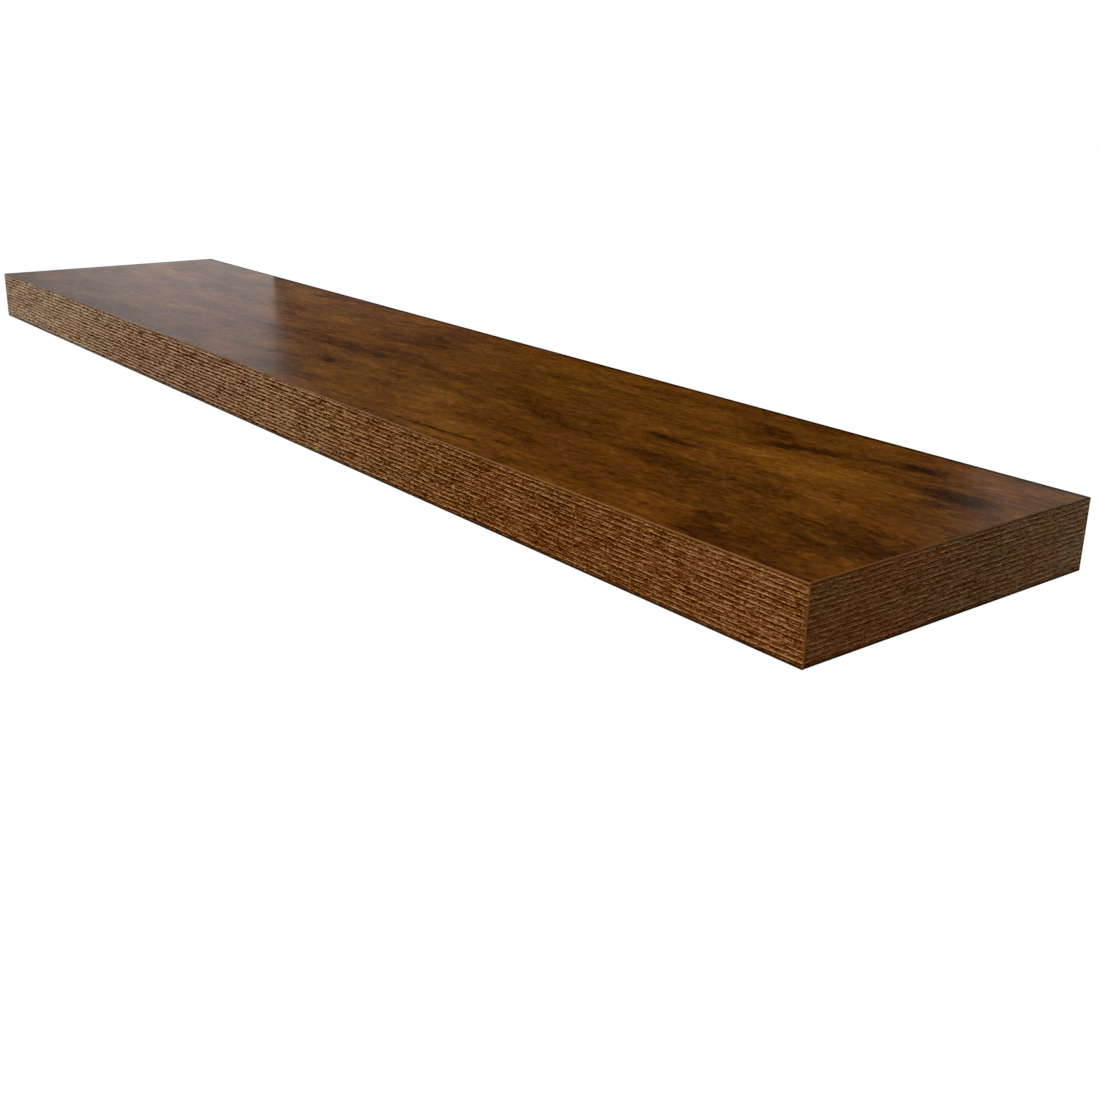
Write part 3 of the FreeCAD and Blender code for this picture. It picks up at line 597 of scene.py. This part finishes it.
# Edge band tree: a rounded strip swept along its edge, with pores pressed into its outer face
def makeBandTree():
    tree = bpy.data.node_groups.new("embossedEdgeBand", "GeometryNodeTree")
    inputs = {}
    for name, kind in (("Length", "NodeSocketFloat"), ("Height", "NodeSocketFloat"),
                       ("Thickness", "NodeSocketFloat"), ("Arris", "NodeSocketFloat"),
                       ("Pore Depth", "NodeSocketFloat"), ("Print Offset", "NodeSocketFloat"),
                       ("End Highlight Shade", "NodeSocketFloat"), ("Gap", "NodeSocketFloat"),
                       ("Columns", "NodeSocketInt"), ("Rows", "NodeSocketInt"),
                       ("Material", "NodeSocketMaterial")):
        inputs[name] = tree.interface.new_socket(name, in_out="INPUT", socket_type=kind).identifier
    tree.interface.new_socket("Geometry", in_out="OUTPUT", socket_type="NodeSocketGeometry")
    given = addNode(tree, "NodeGroupInput").outputs
    index = addNode(tree, "GeometryNodeInputIndex").outputs[0]
    quarterTurn = math.pi / 2

    # section: outer face, two quarter rounds and two short sides; the back closes by itself
    lessArris = addNode(tree, "ShaderNodeMath", {0: given["Arris"], 1: -1.0}, operation="MULTIPLY").outputs[0]
    half = addNode(tree, "ShaderNodeMath", {
        0: given["Height"], 1: 0.5, 2: lessArris}, operation="MULTIPLY_ADD").outputs[0]
    quarter = addNode(tree, "ShaderNodeMath", {
        0: given["Arris"], 1: quarterTurn}, operation="MULTIPLY").outputs[0]
    side = addNode(tree, "ShaderNodeMath", {
        0: given["Thickness"], 1: given["Arris"]}, operation="SUBTRACT").outputs[0]
    bendEnd = addNode(tree, "ShaderNodeMath", {0: half, 1: quarter}, operation="ADD").outputs[0]
    reach = addNode(tree, "ShaderNodeMath", {0: bendEnd, 1: side}, operation="ADD").outputs[0]
    lastRow = addNode(tree, "ShaderNodeMath", {0: given["Rows"], 1: 1.0}, operation="SUBTRACT").outputs[0]
    share = addNode(tree, "ShaderNodeMath", {0: index, 1: lastRow}, operation="DIVIDE").outputs[0]
    signed = addNode(tree, "ShaderNodeMath", {0: share, 1: 2.0, 2: -1.0}, operation="MULTIPLY_ADD").outputs[0]
    arc = addNode(tree, "ShaderNodeMath", {0: signed, 1: reach}, operation="MULTIPLY").outputs[0]
    span = addNode(tree, "ShaderNodeMath", {0: arc}, operation="ABSOLUTE").outputs[0]
    upDown = addNode(tree, "ShaderNodeMath", {0: arc}, operation="SIGN").outputs[0]
    flat = addNode(tree, "ShaderNodeMath", {0: span, 1: half}, operation="MINIMUM").outputs[0]
    beyond = addNode(tree, "ShaderNodeMath", {0: span, 1: half}, operation="SUBTRACT").outputs[0]
    bendShare = addNode(tree, "ShaderNodeMath", {0: beyond, 1: given["Arris"]}, operation="DIVIDE").outputs[0]
    bend = addNode(tree, "ShaderNodeClamp", {
        "Value": bendShare, "Min": 0.0, "Max": quarterTurn}).outputs[0]
    pastBend = addNode(tree, "ShaderNodeMath", {0: span, 1: bendEnd}, operation="SUBTRACT").outputs[0]
    tail = addNode(tree, "ShaderNodeMath", {0: pastBend, 1: 0.0}, operation="MAXIMUM").outputs[0]
    bendSine = addNode(tree, "ShaderNodeMath", {0: bend}, operation="SINE").outputs[0]
    climb = addNode(tree, "ShaderNodeMath", {
        0: bendSine, 1: given["Arris"], 2: flat}, operation="MULTIPLY_ADD").outputs[0]
    rise = addNode(tree, "ShaderNodeMath", {0: climb, 1: upDown}, operation="MULTIPLY").outputs[0]
    bendCosine = addNode(tree, "ShaderNodeMath", {0: bend}, operation="COSINE").outputs[0]
    fall = addNode(tree, "ShaderNodeMath", {0: 1.0, 1: bendCosine}, operation="SUBTRACT").outputs[0]
    inward = addNode(tree, "ShaderNodeMath", {
        0: fall, 1: given["Arris"], 2: tail}, operation="MULTIPLY_ADD").outputs[0]
    section = addNode(tree, "GeometryNodeMeshLine", {"Count": given["Rows"]}).outputs[0]
    for name, field in (("rise", rise), ("inward", inward)):
        section = addNode(tree, "GeometryNodeStoreNamedAttribute", {
            "Geometry": section, "Name": name, "Value": field}, data_type="FLOAT", domain="POINT").outputs[0]
    section = addNode(tree, "GeometryNodeMeshToCurve", {"Mesh": section}).outputs[0]
    section = addNode(tree, "GeometryNodeSetSplineCyclic", {"Geometry": section, "Cyclic": True}).outputs[0]

    # path: even columns, with a few more that go round each end
    lead = float(bandLines["endColumns"])
    lastColumn = addNode(tree, "ShaderNodeMath", {
        0: given["Columns"], 1: 1.0}, operation="SUBTRACT").outputs[0]
    farLead = addNode(tree, "ShaderNodeMath", {0: lastColumn, 1: lead}, operation="SUBTRACT").outputs[0]
    middle = addNode(tree, "ShaderNodeClamp", {"Value": index, "Min": lead, "Max": farLead}).outputs[0]
    steps = addNode(tree, "ShaderNodeMath", {0: farLead, 1: lead}, operation="SUBTRACT").outputs[0]
    stepsDone = addNode(tree, "ShaderNodeMath", {0: middle, 1: lead}, operation="SUBTRACT").outputs[0]
    along = addNode(tree, "ShaderNodeMath", {0: stepsDone, 1: steps}, operation="DIVIDE").outputs[0]
    rounds = addNode(tree, "ShaderNodeMath", {0: given["Arris"], 1: 2.0}, operation="MULTIPLY").outputs[0]
    straight = addNode(tree, "ShaderNodeMath", {
        0: given["Length"], 1: rounds}, operation="SUBTRACT").outputs[0]
    fromMiddle = addNode(tree, "ShaderNodeMath", {0: along, 1: 0.5}, operation="SUBTRACT").outputs[0]
    along = addNode(tree, "ShaderNodeMath", {0: fromMiddle, 1: straight}, operation="MULTIPLY").outputs[0]
    columnsOver = addNode(tree, "ShaderNodeMath", {0: index, 1: middle}, operation="SUBTRACT").outputs[0]
    overrun = addNode(tree, "ShaderNodeMath", {
        0: columnsOver, 1: quarterTurn / lead}, operation="MULTIPLY").outputs[0]
    overrunSine = addNode(tree, "ShaderNodeMath", {0: overrun}, operation="SINE").outputs[0]
    along = addNode(tree, "ShaderNodeMath", {
        0: overrunSine, 1: given["Arris"], 2: along}, operation="MULTIPLY_ADD").outputs[0]
    overrunCosine = addNode(tree, "ShaderNodeMath", {0: overrun}, operation="COSINE").outputs[0]
    endFall = addNode(tree, "ShaderNodeMath", {0: 1.0, 1: overrunCosine}, operation="SUBTRACT").outputs[0]
    path = addNode(tree, "GeometryNodeMeshLine", {"Count": given["Columns"]}).outputs[0]
    for name, field in (("along", along), ("endFall", endFall)):
        path = addNode(tree, "GeometryNodeStoreNamedAttribute", {
            "Geometry": path, "Name": name, "Value": field}, data_type="FLOAT", domain="POINT").outputs[0]
    path = addNode(tree, "GeometryNodeMeshToCurve", {"Mesh": path}).outputs[0]
    strip = addNode(tree, "GeometryNodeCurveToMesh", {
        "Curve": path, "Profile Curve": section, "Fill Caps": True}).outputs[0]

    # every point goes to its real place, and the pores sink into the outer face
    read = {}
    for name in ("rise", "inward", "along", "endFall"):
        read[name] = addNode(tree, "GeometryNodeInputNamedAttribute", {
            "Name": name}, data_type="FLOAT").outputs[0]
    printed = addNode(tree, "ShaderNodeMath", {
        0: read["along"], 1: given["Print Offset"]}, operation="ADD").outputs[0]
    alongSign = addNode(tree, "ShaderNodeMath", {0: read["along"]}, operation="SIGN").outputs[0]
    # sign at the ends: + where the right corner gets its painted highlight, - where the left corner gets
    # painted shade
    endSide = addNode(tree, "ShaderNodeMath", {
        0: alongSign, 1: given["End Highlight Shade"]}, operation="MULTIPLY").outputs[0]
    endHighlightShadeShare = addNode(tree, "ShaderNodeMath", {
        0: read["endFall"], 1: endSide}, operation="MULTIPLY").outputs[0]
    bandPlace = addNode(tree, "ShaderNodeCombineXYZ", {
        "X": printed, "Y": read["rise"], "Z": endHighlightShadeShare}).outputs[0]
    line = lineField(tree, bandPlace, given["Gap"])
    pore = addNode(tree, "ShaderNodeMath", {0: line, 1: -0.5, 2: 0.5}, operation="MULTIPLY_ADD").outputs[0]
    height = addNode(tree, "ShaderNodeMath", {0: read["rise"]}, operation="ABSOLUTE").outputs[0]
    inside = addNode(tree, "ShaderNodeMath", {0: half, 1: height}, operation="SUBTRACT").outputs[0]
    onFace = addNode(tree, "ShaderNodeMapRange", {
        "Value": inside, "From Min": 0.0, "From Max": bandLines["faceMargin"]}).outputs[0]
    offEnd = addNode(tree, "ShaderNodeMath", {0: 1.0, 1: read["endFall"]}, operation="SUBTRACT").outputs[0]
    poreShare = addNode(tree, "ShaderNodeMath", {0: onFace, 1: offEnd}, operation="MULTIPLY").outputs[0]
    pressed = addNode(tree, "ShaderNodeMath", {0: pore, 1: poreShare}, operation="MULTIPLY").outputs[0]
    sunk = addNode(tree, "ShaderNodeMath", {
        0: pressed, 1: given["Pore Depth"], 2: read["inward"]}, operation="MULTIPLY_ADD").outputs[0]
    toBack = addNode(tree, "ShaderNodeMath", {
        0: given["Thickness"], 1: sunk}, operation="SUBTRACT").outputs[0]
    endDrop = addNode(tree, "ShaderNodeMath", {
        0: read["endFall"], 1: given["Arris"]}, operation="MULTIPLY").outputs[0]
    endRound = addNode(tree, "ShaderNodeMath", {
        0: endDrop, 1: given["Thickness"]}, operation="DIVIDE").outputs[0]
    depth = addNode(tree, "ShaderNodeMath", {
        0: toBack, 1: endRound, 2: sunk}, operation="MULTIPLY_ADD").outputs[0]
    spot = addNode(tree, "ShaderNodeCombineXYZ", {
        "X": read["along"], "Y": depth, "Z": read["rise"]}).outputs[0]
    strip = addNode(tree, "GeometryNodeStoreNamedAttribute", {
        "Geometry": strip, "Name": "bandPlace", "Value": bandPlace},
        data_type="FLOAT_VECTOR", domain="POINT").outputs[0]
    strip = addNode(tree, "GeometryNodeSetPosition", {"Geometry": strip, "Position": spot}).outputs[0]
    strip = addNode(tree, "GeometryNodeRealizeInstances", {"Geometry": strip}).outputs[0]
    strip = addNode(tree, "GeometryNodeSetMaterial", {
        "Geometry": strip, "Material": given["Material"]}).outputs[0]
    addNode(tree, "NodeGroupOutput", {"Geometry": strip})
    return tree, inputs


def signedVolume(mesh):
    mesh.calc_loop_triangles()
    points = mesh.vertices
    return sum(points[a].co.dot(points[b].co.cross(points[c].co))
               for a, b, c in (t.vertices for t in mesh.loop_triangles)) / 6


def bakeBand(name, tree, inputs, sizes, place):
    seed = bpy.data.objects.new(name + "Seed", bpy.data.meshes.new(name + "Seed"))
    bpy.context.scene.collection.objects.link(seed)
    modifier = seed.modifiers.new("band", "NODES")
    modifier.node_group = tree
    for label, size in sizes.items():
        modifier[inputs[label]] = size
    graph = bpy.context.evaluated_depsgraph_get()
    mesh = bpy.data.meshes.new_from_object(
        seed.evaluated_get(graph), preserve_all_data_layers=True, depsgraph=graph)
    bpy.data.objects.remove(seed)
    for spare in ("rise", "inward", "along", "endFall"):
        mesh.attributes.remove(mesh.attributes[spare])
    mesh.name = name
    mesh.transform(place)
    if signedVolume(mesh) < 0:
        mesh.flip_normals()
    band = bpy.data.objects.new(name, mesh)
    bpy.context.scene.collection.objects.link(band)
    return band


bandTree, bandInputs = makeBandTree()
# face: axis that the outer face looks along, and its side; turn in degrees; offset of the print in metres;
# end sign: 1 paints a highlight on the right end's corner and shade on the left end's corner
bandPieces = {
    "frontBand": {"node": "front_edge_band", "look": "Front", "face": (1, -1), "turn": 0,
                  "offset": 0.0, "endHighlightShade": 1.0},
    "rightBand": {"node": "right_edge_band", "look": "Right", "face": (0, 1), "turn": 90,
                  "offset": 1.7, "endHighlightShade": 0.0},
    "leftBand": {"node": "left_edge_band", "look": "Left", "face": (0, -1), "turn": -90,
                 "offset": 3.1, "endHighlightShade": 0.0},
}
for bandName, band in bandPieces.items():
    low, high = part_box(band["node"])
    size = high - low
    axis, side = band["face"]
    outer = (low + high) / 2
    outer[axis] = high[axis] if side > 0 else low[axis]
    length = size[1 - axis]
    piece = bakeBand(bandName, bandTree, bandInputs, {
        "Length": length,
        "Height": size.z,
        "Thickness": size[axis],
        "Arris": bandLines["arris"],
        "Pore Depth": bandLines["depth"],
        "Print Offset": band["offset"],
        "End Highlight Shade": band["endHighlightShade"],
        "Gap": edgeLooks[band["look"]]["gap"],
        "Columns": int(length / bandLines["columnStep"]) + 2 * bandLines["endColumns"],
        "Rows": bandLines["rows"],
        "Material": edgeMaterials[band["look"]],
    }, Matrix.Translation(outer) @ Matrix.Rotation(math.radians(band["turn"]), 4, "Z"))
    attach(piece, "shelf")
    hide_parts(band["node"])
    print(bandName, "faces:", len(piece.data.polygons))


# Studio: pale floor, soft key from the left front, cards that only reflections see
studio = {
    "floorHeight": -1.2,
    "floorSize": 60.0,
    "floorColor": "#f4f4f4",
    "floorWhite": 0.88,   # share of plain white where the camera looks; the rest keeps the shadow
    "floorGlow": 1.08,
    "ambient": 0.43,
    "keyPlace": (-1.3, -3.2, 4.2),
    "keyAim": (0, -0.1, 0),
    "keySize": 2.6,
    "keyPower": 285.0,
    "paper": "#ffffff",
    "warmPaper": "#fff8e3",
    "warmCards": ("leftFrontCard",),
}
# x, y and z ranges in metres, and brightness at both ends; a range of one number is the card's plane
studioCards = {
    "nearFlagLow": ((-0.363, 0.02), (0.006, 0.006), (0.0195, 0.05), (0.14, 0.0)),
    "nearFlag": ((-0.363, 0.02), (0.006, 0.006), (0.05, 0.9), (0.05, 0.0)),
    "nearRightFlag": ((0.02, 0.25), (0.006, 0.006), (0.0195, 0.9), (0.0, 0.0)),
    "farFlag": ((-0.3, 0.219), (0.3, 0.3), (0.0195, 1.6), (0.0, 0.0)),
    "rightCard": ((-0.3, 0.8), (0.36, 0.36), (0.0195, 1.6), (0.25, 0.25)),
    "rightNearFlag": ((0.5, 0.565), (0.05, 0.05), (-1.2, 2.4), (0.08, 0.17)),
    "rightFlag": ((0.565, 0.66), (0.05, 0.05), (-1.2, 2.4), (0.17, 0.0)),
    "farRightFlag": ((0.66, 3.0), (0.05, 0.05), (-1.2, 2.4), (0.0, 0.0)),
    "frontFlag": ((-2.8, 3.0), (-1.6, -1.6), (-1.2, 2.4), (0.0, 0.0)),
    "floorFlag": ((-2.8, 3.0), (-1.6, 2.6), (-1.15, -1.15), (0.0, 0.0)),
    "farFrontCard": ((-2.2, -2.2), (-1.6, -1.0), (-1.2, 2.4), (0.0, 0.57)),
    "leftFrontCard": ((-2.2, -2.2), (-1.0, -0.6), (-1.2, 2.4), (0.57, 1.36)),
    "leftCard": ((-2.2, -2.2), (-0.6, 0.1), (-1.2, 2.4), (1.36, 0.22)),
    "leftBackLow": ((-2.2, -2.2), (0.1, 0.65), (-1.2, 0.45), (0.33, 1.25)),
    "leftBackHigh": ((-2.2, -2.2), (0.1, 0.65), (0.45, 2.4), (0.12, 0.28)),
    "farBackLow": ((-2.2, -2.2), (0.65, 2.6), (-1.2, 0.45), (1.22, 1.22)),
    "farBackHigh": ((-2.2, -2.2), (0.65, 2.6), (0.45, 2.4), (0.28, 0.28)),
    "rightSideFlag": ((3.0, 3.0), (-1.6, 0.05), (-1.2, 2.4), (0.0, 0.0)),
    "ceilingFlag": ((-2.2, 3.0), (-1.6, 2.6), (2.4, 2.4), (0.02, 0.02)),
}


# whiteShare where the camera, a reflection or glass looks, and 0 where light bounces
def makeWhiteShare(tree, whiteShare):
    path = addNode(tree, "ShaderNodeLightPath").outputs
    seen = addNode(tree, "ShaderNodeMath", {
        0: path["Is Camera Ray"], 1: path["Is Glossy Ray"]}, operation="MAXIMUM")
    seen = addNode(tree, "ShaderNodeMath", {
        0: seen.outputs[0], 1: path["Is Transmission Ray"]}, operation="MAXIMUM")
    share = addNode(tree, "ShaderNodeMath", {0: seen.outputs[0], 1: whiteShare}, operation="MULTIPLY")
    return share.outputs[0]


def addCard(name, x, y, z, material):
    if x[0] == x[1]:
        corners = [(x[0], y[0], z[0]), (x[0], y[1], z[0]), (x[0], y[1], z[1]), (x[0], y[0], z[1])]
    elif y[0] == y[1]:
        corners = [(x[0], y[0], z[0]), (x[1], y[0], z[0]), (x[1], y[0], z[1]), (x[0], y[0], z[1])]
    else:
        corners = [(x[0], y[0], z[0]), (x[1], y[0], z[0]), (x[1], y[1], z[0]), (x[0], y[1], z[0])]
    mesh = bpy.data.meshes.new(name)
    mesh.from_pydata(corners, [], [(0, 1, 2, 3)])
    mesh.materials.append(material)
    card = bpy.data.objects.new(name, mesh)
    bpy.context.scene.collection.objects.link(card)
    return card


def makeStudio():
    world = bpy.data.worlds.new("studioWorld")
    bpy.context.scene.world = world
    world.use_nodes = True
    tree = world.node_tree
    tree.nodes.clear()
    ambient = addNode(tree, "ShaderNodeBackground", {"Color": (1, 1, 1, 1), "Strength": studio["ambient"]})
    white = addNode(tree, "ShaderNodeBackground", {"Color": (1, 1, 1, 1), "Strength": 1.0})
    mix = addNode(tree, "ShaderNodeMixShader", {
        0: makeWhiteShare(tree, 1.0), 1: ambient.outputs[0], 2: white.outputs[0]})
    addNode(tree, "ShaderNodeOutputWorld", {"Surface": mix.outputs[0]})

    # painted floor: nearly plain white to the eye, and keeps a soft shadow of the shelf
    material, tree = startMaterial("palePaintedFloor")
    paint = addNode(tree, "ShaderNodeBsdfDiffuse", {"Color": hexColor(studio["floorColor"])})
    glow = addNode(tree, "ShaderNodeEmission", {"Color": (1, 1, 1, 1), "Strength": studio["floorGlow"]})
    mix = addNode(tree, "ShaderNodeMixShader", {
        0: makeWhiteShare(tree, studio["floorWhite"]), 1: paint.outputs[0], 2: glow.outputs[0]})
    endMaterial(tree, mix)
    half = studio["floorSize"] / 2
    addCard("studioFloor", (-half, half), (-half, half), (studio["floorHeight"],) * 2, material)

    # lit paper cards and black flags: the pale veil and the dark areas that the satin top reflects
    for name, (x, y, z, (nearGlow, farGlow)) in studioCards.items():
        material, tree = startMaterial(name + "Paper")
        strength = nearGlow
        if nearGlow != farGlow:
            coords = addNode(tree, "ShaderNodeTexCoord").outputs["Object"]
            axis, (start, end) = (0, x) if x[0] != x[1] else (1, y)
            strength = addNode(tree, "ShaderNodeMapRange", {
                "Value": addNode(tree, "ShaderNodeSeparateXYZ", {0: coords}).outputs[axis],
                "From Min": start, "From Max": end, "To Min": nearGlow, "To Max": farGlow}).outputs[0]
        paper = studio["warmPaper"] if name in studio["warmCards"] else studio["paper"]
        glow = addNode(tree, "ShaderNodeEmission", {"Color": hexColor(paper), "Strength": strength})
        endMaterial(tree, glow)
        card = addCard(name, x, y, z, material)
        card.visible_camera = False
        card.visible_diffuse = False
        card.visible_shadow = False
        card.visible_transmission = False

    lamp = bpy.data.lights.new("keySoftbox", "AREA")
    lamp.shape = "SQUARE"
    lamp.size = studio["keySize"]
    lamp.energy = studio["keyPower"]
    key = bpy.data.objects.new("keySoftbox", lamp)
    key.location = studio["keyPlace"]
    key.visible_glossy = False
    key.rotation_mode = "QUATERNION"
    key.rotation_quaternion = (Vector(studio["keyAim"]) - key.location).to_track_quat("-Z", "Y")
    bpy.context.scene.collection.objects.link(key)


makeStudio()
bpy.context.scene.view_settings.view_transform = "Standard"

# Camera: the photograph's eye point, with its slight roll
cameraView = {
    "place": (0.81756, -0.60578, 0.21247),
    "right": (0.62139, 0.78320, 0.02175),
    "up": (-0.27431, 0.19147, 0.94238),
    "lens": 45.235,
    "sensor": 36,
    "clip": (0.01, 100),
}
cameraData = bpy.data.cameras.new("camera")
cameraData.lens = cameraView["lens"]
cameraData.sensor_width = cameraView["sensor"]
cameraData.clip_start, cameraData.clip_end = cameraView["clip"]
camera = bpy.data.objects.new("camera", cameraData)
right = Vector(cameraView["right"])
up = Vector(cameraView["up"])
axes = Matrix((right, up, right.cross(up))).transposed().to_4x4()
camera.matrix_world = Matrix.Translation(cameraView["place"]) @ axes
bpy.context.scene.collection.objects.link(camera)
bpy.context.scene.camera = camera
print("studio and camera set")
